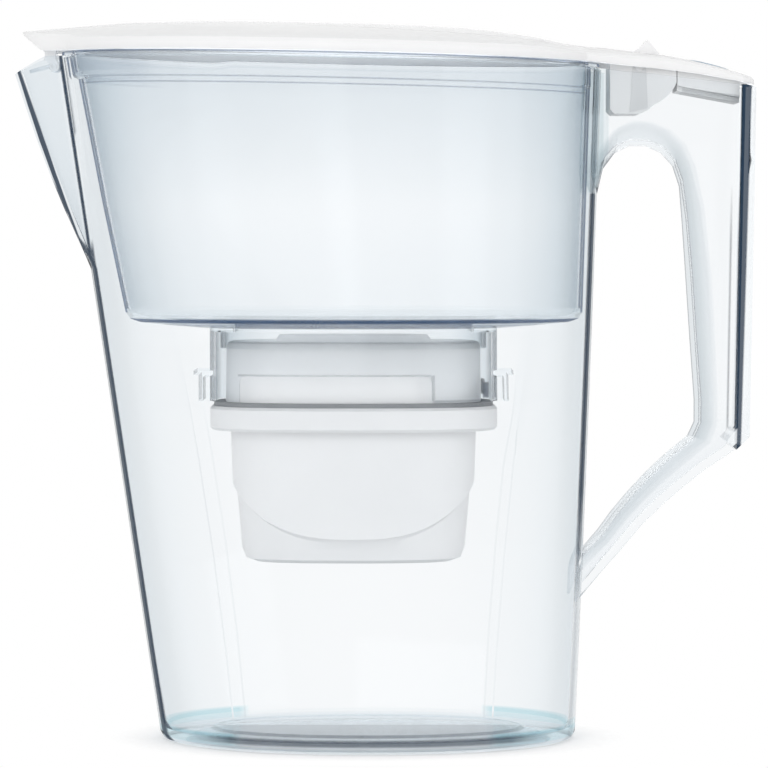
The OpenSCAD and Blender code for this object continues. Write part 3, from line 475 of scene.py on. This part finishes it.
@dataclass(frozen=True)
class MattePlastic:
    """Matte moulded plastic with a fine spark-eroded grain."""

    name: str
    low: Colour
    high: Colour
    rough: float = 0.5
    grain: float = 0.00002
    grain_scale: float = 1400.0
    zones: tuple[Zone, ...] = ()

    def make(self) -> bpy.types.Material:
        """Builds the material."""
        made, graph = material(self.name)
        cloud = graph.spread(graph.noise(30.0, 3.0), 0.0, 1.0, 0.35, 0.65)
        fine = graph.noise(self.grain_scale, 3.0, 0.6)
        colour = tinted(graph, graph.blend(cloud, self.low, self.high), self.zones)
        shader = graph.add(
            "ShaderNodeBsdfPrincipled",
            None,
            {
                "Base Color": colour,
                "Roughness": graph.spread(fine, self.rough - 0.08, self.rough + 0.1, 0.3, 0.7),
                "IOR": 1.48,
                "Normal": graph.bump(fine, self.grain),
            },
        )
        graph.add("ShaderNodeOutputMaterial", None, {"Surface": shader})
        return made


@dataclass(frozen=True)
class Granules:
    """Packed grains seen as a bed."""

    name: str
    dark: Colour
    light: Colour
    size: float = 0.0009
    rough: float = 0.6

    def make(self) -> bpy.types.Material:
        """Builds the material."""
        made, graph = material(self.name)
        grid = {"Vector": graph.place(), "Scale": 1.0 / self.size}
        cell = graph.add("ShaderNodeTexVoronoi", None, grid, "Distance")
        tint = graph.spread(graph.noise(0.6 / self.size, 2.0), 0.0, 1.0, 0.3, 0.7)
        shader = graph.add(
            "ShaderNodeBsdfPrincipled",
            None,
            {
                "Base Color": graph.blend(tint, self.dark, self.light),
                "Roughness": graph.spread(cell, self.rough - 0.2, self.rough + 0.2),
                "Normal": graph.bump(1.0 - cell, 0.0003),
            },
        )
        graph.add("ShaderNodeOutputMaterial", None, {"Surface": shader})
        return made


@dataclass(frozen=True)
class Felt:
    """Pressed fibre."""

    name: str = "felt"
    low: Colour = (0.80, 0.80, 0.77)
    high: Colour = (0.92, 0.92, 0.89)

    def make(self) -> bpy.types.Material:
        """Builds the material."""
        made, graph = material(self.name)
        fibre = graph.noise(1600.0, 6.0, 0.7)
        shader = graph.add(
            "ShaderNodeBsdfPrincipled",
            None,
            {
                "Base Color": graph.blend(fibre, self.low, self.high),
                "Roughness": 0.9,
                "Sheen Weight": 0.3,
                "Normal": graph.bump(fibre, 0.0001),
            },
        )
        graph.add("ShaderNodeOutputMaterial", None, {"Surface": shader})
        return made


class FinishName(Enum):
    """The pitcher's finishes."""

    JUG = "jug"
    HANDLE = "handle"
    HOPPER = "hopper"
    COLLAR = "collar"
    LID = "lid"
    FROSTED = "frosted"
    CARTRIDGE = "cartridge"
    CAP = "cap"
    SCREEN = "screen"
    SEAL = "seal"
    CARBON = "carbon"
    RESIN = "resin"
    FELT = "felt"
    DIAL = "dial"
    MARKS = "marks"


# NEAR_SIDE is the half facing the camera (Y below 0): the painted dark lines are drawn on this
# half only.
NEAR_SIDE = Slab(ACROSS, -1.0, 0.0)
HANDLE_ROOT = Slab(UP, 0.196)
HOPPER_BAND = Slab(RIM, 0.2335, 0.30)
FLOOR_EDGE = Slab(UP, 0.0020, 0.0060)
OUTER_STRIP = Zone((Slab(HANDLE_WALL, 0.1222),))
# The tint after the pale teal is painted shade where the handle's upper root meets the jug.
PALE_TEAL, ROOT_SHADE = (0.66, 0.84, 0.88), (0.85, 0.89, 0.90)


class Palette:
    """Makes each finish once."""

    recipes = {
        FinishName.JUG: ClearPlastic(
            "jug_plastic",
            middle=-0.011,
            # Painted shade: the left end of the wall a little darker, a darker bluer band at the
            # foot, and darker on the wall under the handle's upper root.
            zones=(
                Zone((Slab(LEFT_WALL, -1.0, -0.0808, 0.0006),), (0.93, 0.945, 0.955)),
                Zone((Slab(UP, -0.01, 0.0022, 0.0008),), (0.80, 0.86, 0.90)),
                Zone((FLOOR_EDGE, Slab(AHEAD, -1.0, -0.052, 0.002)), PALE_TEAL),
                Zone((FLOOR_EDGE, Slab(AHEAD, 0.038, 1.0, 0.002)), PALE_TEAL),
                Zone((Slab(RIGHT_WALL, 0.0668, 0.10), HANDLE_ROOT), ROOT_SHADE),
            ),
            # Painted dark lines: high on the left wall's crease, two along the spout's ridge, and
            # one low in the floor's edge on the near side.
            shade_lines=(
                Zone(
                    (Slab(LEFT_WALL, -0.0797, -0.0785), Slab(UP, 0.169, 1.0, 0.002)),
                    weight=0.8,
                ),
                *(
                    Zone(
                        (
                            Slab(ACROSS, start, start + 0.0020, 0.0002),
                            Slab(SPOUT_RIDGE, -1.0, -0.0456),
                            Slab(UP, 0.174),
                        ),
                        weight=0.93,
                    )
                    for start in (-0.0034, 0.0014)
                ),
                Zone(
                    (
                        Slab(UP, 0.0030, 0.0048, 0.0004),
                        Slab(AHEAD, -0.062, 0.052, 0.008),
                        NEAR_SIDE,
                    ),
                    weight=0.7,
                ),
            ),
            quiet=(
                Zone((Slab(AHEAD, 0.0), Slab(UP, -1.0, 0.070, 0.02)), weight=0.8),
                Zone((Slab(AHEAD, 0.06), HANDLE_ROOT), weight=0.55),
            ),
        ),
        FinishName.HANDLE: ClearPlastic(
            "handle_plastic",
            # Painted shade: greyer as the handle is seen obliquely, a dark band in its outer wall
            # on the near side and a faint line beside it, and darker where it joins the jug's
            # upper wall; its outer strip keeps the pale colour and no silhouette shade. It is also
            # a touch darker at its lower end.
            stops=(
                (0.0, (0.962, 0.971, 0.978)),
                (0.02, (0.955, 0.965, 0.973)),
                (0.035, (0.90, 0.92, 0.935)),
                (0.07, (0.885, 0.905, 0.92)),
                (0.35, (0.83, 0.86, 0.875)),
                (0.75, (0.76, 0.79, 0.81)),
            ),
            edge_shade_places=(0.80, 0.90, 1.2, 1.3),
            edge_shade_weight=0.5,
            index=1.03,
            level=(0.90, 0.92, 0.935),
            level_clear=0.25,
            shade_lines=(
                Zone(
                    (
                        Slab(BAND_START, 0.12424),
                        Slab(BAND_END, -1.0, 0.12424),
                        NEAR_SIDE,
                    ),
                    weight=0.9,
                ),
                Zone(
                    (Slab(HANDLE_WALL, 0.1233, 0.1238), Slab(UP, 0.105, 0.19, 0.01)),
                    weight=0.4,
                ),
            ),
            zones=(
                Zone((Slab(AHEAD, 0.07, 0.0797), HANDLE_ROOT), ROOT_SHADE),
                Zone((Slab(UP, -1.0, 0.108, 0.012),), (0.965, 0.972, 0.978)),
            ),
            quiet=(OUTER_STRIP,),
            pale=(OUTER_STRIP,),
        ),
        FinishName.HOPPER: ClearPlastic(
            "hopper_plastic",
            # Painted shade: greyer as the hopper is seen obliquely, a little darker in the band
            # under the lid, a painted shadow at the band's left end, a darker upper part, and
            # painted dark lines along the band's ledges and low on the near side. The lower middle
            # is a touch darker too.
            stops=(
                (0.0, (0.972, 0.979, 0.985)),
                (0.15, (0.945, 0.957, 0.966)),
                (0.3, (0.898, 0.918, 0.932)),
                (0.42, (0.862, 0.884, 0.90)),
                (0.62, (0.79, 0.82, 0.845)),
            ),
            edge_shade=(0.06, 0.11, 0.21),
            edge_shade_places=(0.76, 0.81, 1.2, 1.3),
            edge_shade_weight=0.72,
            level_slope=(0.06, 0.3),
            middle=-0.018,
            index=1.04,
            zones=(
                Zone((HOPPER_BAND,), (0.98, 0.982, 0.985)),
                Zone((HOPPER_BAND, Slab(AHEAD, -1.0, -0.085, 0.004)), (0.91, 0.92, 0.935)),
                Zone((Slab(UP, 0.212, 0.30, 0.02),), (0.93, 0.945, 0.955)),
                Zone((Slab(UP, 0.10, 0.172, 0.014),), (0.98, 0.985, 0.988)),
            ),
            shade_lines=(
                Zone((Slab(RIM, 0.2349, 0.2353, 0.0002),), weight=0.3),
                Zone((Slab(RIM, 0.2328, 0.2332, 0.0002),), weight=0.3),
                Zone((Slab(RIM, 0.2434, 0.2460, 0.0002),), weight=0.45),
                Zone((Slab(UP, 0.1501, 0.1516), NEAR_SIDE), weight=0.95),
                Zone((Slab(UP, 0.1480, 0.1498), NEAR_SIDE), weight=0.5),
            ),
        ),
        FinishName.COLLAR: ClearPlastic(
            "collar_plastic",
            # Painted shade: faint grey at the silhouettes and faint painted dark lines along the
            # collar's rib and band, most of them on the near side only.
            edge_shade_places=(0.6, 0.85, 1.2, 1.3),
            edge_shade_weight=0.35,
            index=1.04,
            shade_lines=(
                Zone((Slab(AHEAD, 0.0350, 0.0370), Slab(UP, 0.1235, 0.1289)), weight=0.5),
                Zone(
                    (
                        Slab(AHEAD, -0.0515, 0.0165),
                        Slab(UP, 0.1313, 0.1320, 0.0002),
                        NEAR_SIDE,
                    ),
                    weight=0.14,
                ),
                *(
                    Zone((ahead, up, NEAR_SIDE), weight=0.17)
                    for ahead, up in (
                        (Slab(AHEAD, 0.0166, 0.0178), Slab(UP, 0.1226, 0.1318)),
                        (Slab(AHEAD, 0.0172, 0.0350), Slab(UP, 0.1221, 0.1229)),
                    )
                ),
            ),
        ),
        # The lid's glow is painted light: its faces that look down glow.
        FinishName.LID: GlossPlastic(
            "lid_plastic", (0.86, 0.86, 0.865), (0.885, 0.885, 0.885), glow=0.62
        ),
        FinishName.FROSTED: MattePlastic(
            "frosted_plastic",
            (0.745, 0.745, 0.745),
            (0.775, 0.775, 0.775),
            0.38,
            # Painted shade: darker along the dial housing's lower edge, and the pocket's outer
            # ribs darker.
            zones=(
                Zone(
                    (Slab(HOUSING, -1.0, 0.2463, 0.0002), Slab(AHEAD, 0.106)),
                    (0.72, 0.73, 0.74),
                ),
                *(
                    Zone((Slab(ACROSS, start, end, 0.00008),), (0.84, 0.845, 0.85))
                    for start, end in ((-0.02, -0.01185), (0.01185, 0.02))
                ),
            ),
        ),
        FinishName.CARTRIDGE: MattePlastic(
            "cartridge_plastic", (0.775, 0.777, 0.783), (0.795, 0.795, 0.80)
        ),
        # The cap is lighter than the shell: painted light against the shade it gets inside the
        # collar, under the hopper.
        FinishName.CAP: MattePlastic("cap_plastic", (0.845, 0.847, 0.85), (0.865, 0.866, 0.87)),
        FinishName.SCREEN: MattePlastic(
            "screen_plastic", (0.72, 0.73, 0.74), (0.78, 0.79, 0.80), 0.6
        ),
        FinishName.SEAL: MattePlastic("seal_rubber", (0.20, 0.21, 0.22), (0.26, 0.27, 0.28), 0.65),
        FinishName.CARBON: Granules("carbon", (0.012, 0.012, 0.012), (0.05, 0.05, 0.05)),
        FinishName.RESIN: Granules("resin", (0.42, 0.26, 0.08), (0.68, 0.48, 0.22), 0.0006),
        FinishName.FELT: Felt(),
        FinishName.DIAL: MattePlastic(
            "dial_plastic", (0.34, 0.45, 0.56), (0.40, 0.51, 0.62), 0.35
        ),
        FinishName.MARKS: MattePlastic("marks_paint", (0.82, 0.83, 0.84), (0.88, 0.88, 0.88), 0.4),
    }

    def __init__(self) -> None:
        """Starts with no material made."""
        self.made: dict[FinishName, bpy.types.Material] = {}

    def get(self, name: FinishName) -> bpy.types.Material:
        """The material of a finish."""
        if name not in self.made:
            self.made[name] = self.recipes[name].make()
        return self.made[name]


# ---- Meshes --------------------------------------------------------------------------------


def link(name: str, mesh: bpy.types.Mesh) -> bpy.types.Object:
    """Puts a mesh into the scene as an object at the origin."""
    made = bpy.data.objects.new(name, mesh)
    bpy.context.scene.collection.objects.link(made)
    return made


def smooth_by_angle(mesh: bpy.types.Mesh, degrees: float) -> None:
    """Shades a mesh smooth but keeps its edges sharper than an angle."""
    for polygon in mesh.polygons:
        polygon.use_smooth = True
    mesh.set_sharp_from_angle(angle=math.radians(degrees))


def joined_copy(node: str, name: str, degrees: float = 32.0) -> bpy.types.Object:
    """Copies a CAD node's mesh, joins its loose triangles and shades it.

    Args:
        node: the CAD node.
        name: the new piece's name.
        degrees: edges sharper than this stay sharp.

    Returns:
        The new object.
    """
    mesh = frame["nodes"][node].data.copy()
    mesh.name = name
    mesh.materials.clear()
    work = bmesh.new()
    work.from_mesh(mesh)
    bmesh.ops.remove_doubles(work, verts=work.verts, dist=WELD)
    work.to_mesh(mesh)
    work.free()
    if mesh.has_custom_normals:
        mesh.attributes.remove(mesh.attributes["custom_normal"])
    smooth_by_angle(mesh, degrees)
    return link(name, mesh)


@dataclass(frozen=True)
class RingOfMarks:
    """Small raised bars set round a circle by a Geometry Nodes group.

    It has nothing at random, so it needs no seed.
    """

    count: int = 12
    radius: float = 6.5 * MM
    bar: tuple[float, float, float] = (1.3 * MM, 0.3 * MM, 0.16 * MM)

    def group(self) -> bpy.types.GeometryNodeTree:
        """Builds the node group with its named inputs."""
        tree = bpy.data.node_groups.new("ring_of_marks", "GeometryNodeTree")
        for name, kind in (
            ("Count", "NodeSocketInt"),
            ("Radius", "NodeSocketFloat"),
            ("Bar", "NodeSocketVector"),
            ("Finish", "NodeSocketMaterial"),
        ):
            tree.interface.new_socket(name=name, in_out="INPUT", socket_type=kind)
        tree.interface.new_socket(
            name="Geometry", in_out="OUTPUT", socket_type="NodeSocketGeometry"
        )
        kinds = {
            "given": "NodeGroupInput",
            "ring": "GeometryNodeMeshCircle",
            "bar": "GeometryNodeMeshCube",
            "place": "GeometryNodeInputPosition",
            "turn": "FunctionNodeAlignRotationToVector",
            "spread": "GeometryNodeInstanceOnPoints",
            "real": "GeometryNodeRealizeInstances",
            "finish": "GeometryNodeSetMaterial",
            "result": "NodeGroupOutput",
        }
        nodes = {name: tree.nodes.new(kind) for name, kind in kinds.items()}
        nodes["turn"].axis = "X"
        for start, output, end, socket in (
            ("given", "Count", "ring", "Vertices"),
            ("given", "Radius", "ring", "Radius"),
            ("given", "Bar", "bar", "Size"),
            ("place", "Position", "turn", "Vector"),
            ("ring", "Mesh", "spread", "Points"),
            ("bar", "Mesh", "spread", "Instance"),
            ("turn", "Rotation", "spread", "Rotation"),
            ("spread", "Instances", "real", "Geometry"),
            ("real", "Geometry", "finish", "Geometry"),
            ("given", "Finish", "finish", "Material"),
            ("finish", "Geometry", "result", "Geometry"),
        ):
            tree.links.new(nodes[start].outputs[output], nodes[end].inputs[socket])
        return tree

    def make(self, name: str, finish: bpy.types.Material, place: Matrix) -> bpy.types.Object:
        """Makes the bars as one plain mesh.

        Args:
            name: the new piece's name.
            finish: its material.
            place: where the ring's plane lies.

        Returns:
            The new object.
        """
        made = link(name, bpy.data.meshes.new(name))
        tree = self.group()
        values = {"Count": self.count, "Radius": self.radius, "Bar": self.bar, "Finish": finish}
        modifier = made.modifiers.new("marks", "NODES")
        modifier.node_group = tree
        for item in tree.interface.items_tree:
            if item.in_out == "INPUT":
                modifier[item.identifier] = values[item.name]
        view = bpy.context.evaluated_depsgraph_get()
        mesh = bpy.data.meshes.new_from_object(made.evaluated_get(view))
        made.modifiers.clear()
        mesh.transform(place)
        made.data = mesh
        return made


@dataclass
class Assembly:
    """A group of pieces that stand for CAD nodes of one or more bodies."""

    palette: Palette
    pieces: list[bpy.types.Object] = field(default_factory=list)

    def adopt(
        self,
        piece: bpy.types.Object,
        body: str,
        finish: FinishName,
        node: Optional[str] = None,
        slot: Optional[str] = None,
    ) -> bpy.types.Object:
        """Gives a piece its finish and its body.

        Args:
            piece: the object.
            body: the body that it rides on.
            finish: its finish.
            node: the CAD node that it stands for, if any.
            slot: the record's material slot, for a piece that stands for no node; not used.

        Returns:
            The same object.
        """
        piece.data.materials.clear()
        piece.data.materials.append(self.palette.get(finish))
        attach(piece, body)
        if node:
            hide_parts(node)
        self.pieces.append(piece)
        LOG.info("%s: %d faces on %s", piece.name, len(piece.data.polygons), body)
        return piece


@dataclass
class Jug(Assembly):
    """The clear jug with its spout and handle."""

    crease: float = 24.0

    def build(self) -> None:
        """Makes the jug's pieces."""
        for node, name, finish in (
            ("jug_body", "jug_wall", FinishName.JUG),
            ("handle", "jug_handle", FinishName.HANDLE),
        ):
            self.adopt(joined_copy(node, name, self.crease), "jug", finish, node)


@dataclass
class Hopper(Assembly):
    """The hopper that hangs in the jug, with the collar under it."""

    crease: float = 24.0

    def build(self) -> None:
        """Makes the hopper's pieces."""
        for node, name, finish in (
            ("hopper", "hopper_wall", FinishName.HOPPER),
            ("cartridge_collar", "collar_wall", FinishName.COLLAR),
        ):
            self.adopt(joined_copy(node, name, self.crease), "hopper", finish, node)


@dataclass
class Cartridge(Assembly):
    """The filter cartridge: shell, cap, screens, seal and its beds."""

    crease: float = 26.0

    def build(self) -> None:
        """Makes the cartridge's pieces."""
        parts = (
            ("cartridge_shell", "filter_shell", FinishName.CARTRIDGE),
            ("cartridge_cap", "filter_cap", FinishName.CAP),
            ("cartridge_seal", "filter_seal", FinishName.SEAL),
            ("inlet_screen", "filter_inlet", FinishName.SCREEN),
            ("outlet_screen", "filter_outlet", FinishName.SCREEN),
            ("carbon_bed", "filter_carbon", FinishName.CARBON),
            ("resin_bed", "filter_resin", FinishName.RESIN),
            ("separator_pad", "filter_pad", FinishName.FELT),
        )
        for node, name, finish in parts:
            self.adopt(joined_copy(node, name, self.crease), "cartridge", finish, node)


@dataclass
class Lid(Assembly):
    """The white lid with its flap's pocket, dial housing, flaps and dial."""

    crease: float = 24.0
    dial_joint: str = "month_dial_turn"

    def build(self) -> None:
        """Makes the lid's pieces."""
        parts = (
            ("lid_shell", "lid_top", "lid", FinishName.LID),
            ("flap_pocket", "lid_pocket", "lid", FinishName.FROSTED),
            ("dial_housing", "lid_dial_well", "lid", FinishName.FROSTED),
            ("spout_bracket", "lid_bracket", "lid", FinishName.LID),
            ("spout_flap_pin", "lid_pin", "lid", FinishName.LID),
            ("fill_flap", "flap_plate", "filling_flap", FinishName.LID),
            ("spout_flap", "spout_shutter", "spout_flap", FinishName.HOPPER),
            ("month_dial", "dial_disc", "dial", FinishName.DIAL),
        )
        for node, name, body, finish in parts:
            self.adopt(joined_copy(node, name, self.crease), body, finish, node)
        self.dress()

    def dress(self) -> None:
        """Sets twelve marks, one a month, on the dial's face."""
        joint = next(row for row in frame["joints"] if row["name"] == self.dial_joint)
        tilt = Vector(joint["axis"]).to_track_quat("Z", "Y").to_matrix().to_4x4()
        place = Matrix.Translation(Vector(joint["pos_m"])) @ tilt
        ring = RingOfMarks().make("dial_marks", self.palette.get(FinishName.MARKS), place)
        self.adopt(ring, "dial", FinishName.MARKS, slot="dial_plastic")


# ---- Studio --------------------------------------------------------------------------------


@dataclass
class Studio:
    """White floor, soft lamps, even world and the camera."""

    camera_distance: float = 1.2
    camera_height: float = 0.180
    aim_height: float = 0.1276
    view_width: float = 0.2765
    floor_radius: float = 3.0
    base_middle: float = -0.0057
    base_length: float = 0.0747
    base_width: float = 0.046
    world_light: float = 0.72
    floor_glow: float = 0.25
    shade_start: float = 0.98
    shade_end: float = 1.25

    def build(self) -> None:
        """Makes the studio."""
        self.floor()
        self.world()
        self.lamps()
        self.camera()
        bpy.context.scene.view_settings.view_transform = "Standard"

    def seen(self, graph: Graph) -> Wire:
        """1 for rays that show the background: from the camera, a reflection or a clear wall."""
        path = graph.add("ShaderNodeLightPath", output="Is Camera Ray")
        return path.largest(path.part("Is Glossy Ray")).largest(path.part("Is Transmission Ray"))

    def floor(self) -> None:
        """Makes the floor disc."""
        work = bmesh.new()
        bmesh.ops.create_circle(work, cap_ends=True, segments=96, radius=self.floor_radius)
        mesh = bpy.data.meshes.new("floor")
        work.to_mesh(mesh)
        work.free()
        disc = link("floor", mesh)
        made, graph = material("floor_white")
        seen = self.seen(graph)
        diffuse = graph.add("ShaderNodeBsdfDiffuse", None, {"Color": (0.9, 0.9, 0.905)})
        glow = graph.add("ShaderNodeEmission", None, {"Strength": seen * self.floor_glow})
        lit = graph.add("ShaderNodeAddShader", None, {0: diffuse, 1: glow})
        white = graph.add("ShaderNodeEmission", None, {"Strength": 1.0})
        flat = graph.add("ShaderNodeSeparateXYZ", None, {"Vector": graph.place()}, "X")
        along = (flat - self.base_middle) / self.base_length
        across = flat.part("Y") / self.base_width
        away = (along * along + across * across) ** 0.5
        far = graph.spread(away, 0.0, 1.0, self.shade_start, self.shade_end) * seen
        both = graph.add("ShaderNodeMixShader", None, {0: far, 1: lit, 2: white})
        graph.add("ShaderNodeOutputMaterial", None, {"Surface": both})
        mesh.materials.append(made)

    def world(self) -> None:
        """Lights evenly from all round and shows white behind the pitcher."""
        world = bpy.data.worlds.new("studio")
        bpy.context.scene.world = world
        world.use_nodes = True
        graph = Graph(world.node_tree)
        seen = self.seen(graph)
        strength = seen * (1.0 - self.world_light) + self.world_light
        sky = graph.add(
            "ShaderNodeBackground", None, {"Color": (1.0, 1.0, 1.0), "Strength": strength}
        )
        graph.add("ShaderNodeOutputWorld", None, {"Surface": sky})

    def lamp(
        self, name: str, place: Vector, aim: Vector, size: tuple[float, float], power: float
    ) -> None:
        """Adds an area lamp.

        Args:
            name: its name.
            place: where it stands.
            aim: the point that it faces.
            size: its width and height.
            power: watts.
        """
        data = bpy.data.lights.new(name, "AREA")
        data.shape = "RECTANGLE"
        data.size, data.size_y = size
        data.energy = power
        lamp = bpy.data.objects.new(name, data)
        bpy.context.scene.collection.objects.link(lamp)
        lamp.location = place
        lamp.visible_glossy = False
        lamp.visible_transmission = place.y < 0.0
        lamp.rotation_euler = (aim - place).to_track_quat("-Z", "Y").to_euler()

    def lamps(self) -> None:
        """Adds the soft lamps."""
        aim = Vector((0.0, 0.0, 0.13))
        self.lamp("key", Vector((-0.5, -1.4, 0.40)), aim, (1.2, 1.0), 6.5)
        self.lamp("fill", Vector((0.9, -1.0, 0.30)), aim, (0.8, 0.9), 3.0)
        self.lamp("back", Vector((0.3, 0.9, 0.6)), aim, (0.9, 0.6), 1.5)

    def camera(self) -> None:
        """Adds the camera at the photograph's angle."""
        data = bpy.data.cameras.new("camera")
        data.sensor_width = 36.0
        place = Vector((0.0, -self.camera_distance, self.camera_height))
        aim = Vector((0.0, 0.0, self.aim_height))
        data.lens = 36.0 * (aim - place).length / self.view_width
        made = bpy.data.objects.new("camera", data)
        bpy.context.scene.collection.objects.link(made)
        made.location = place
        made.rotation_euler = (aim - place).to_track_quat("-Z", "Y").to_euler()
        data.clip_start, data.clip_end = 0.05, 20.0
        bpy.context.scene.camera = made


def main() -> None:
    """Builds every sub-assembly, then the studio."""
    logging.basicConfig(level=logging.INFO, format="%(name)s: %(message)s")
    palette = Palette()
    for assembly in (Jug(palette), Hopper(palette), Cartridge(palette), Lid(palette)):
        assembly.build()
    Studio().build()


if __name__ == "__main__":
    main()
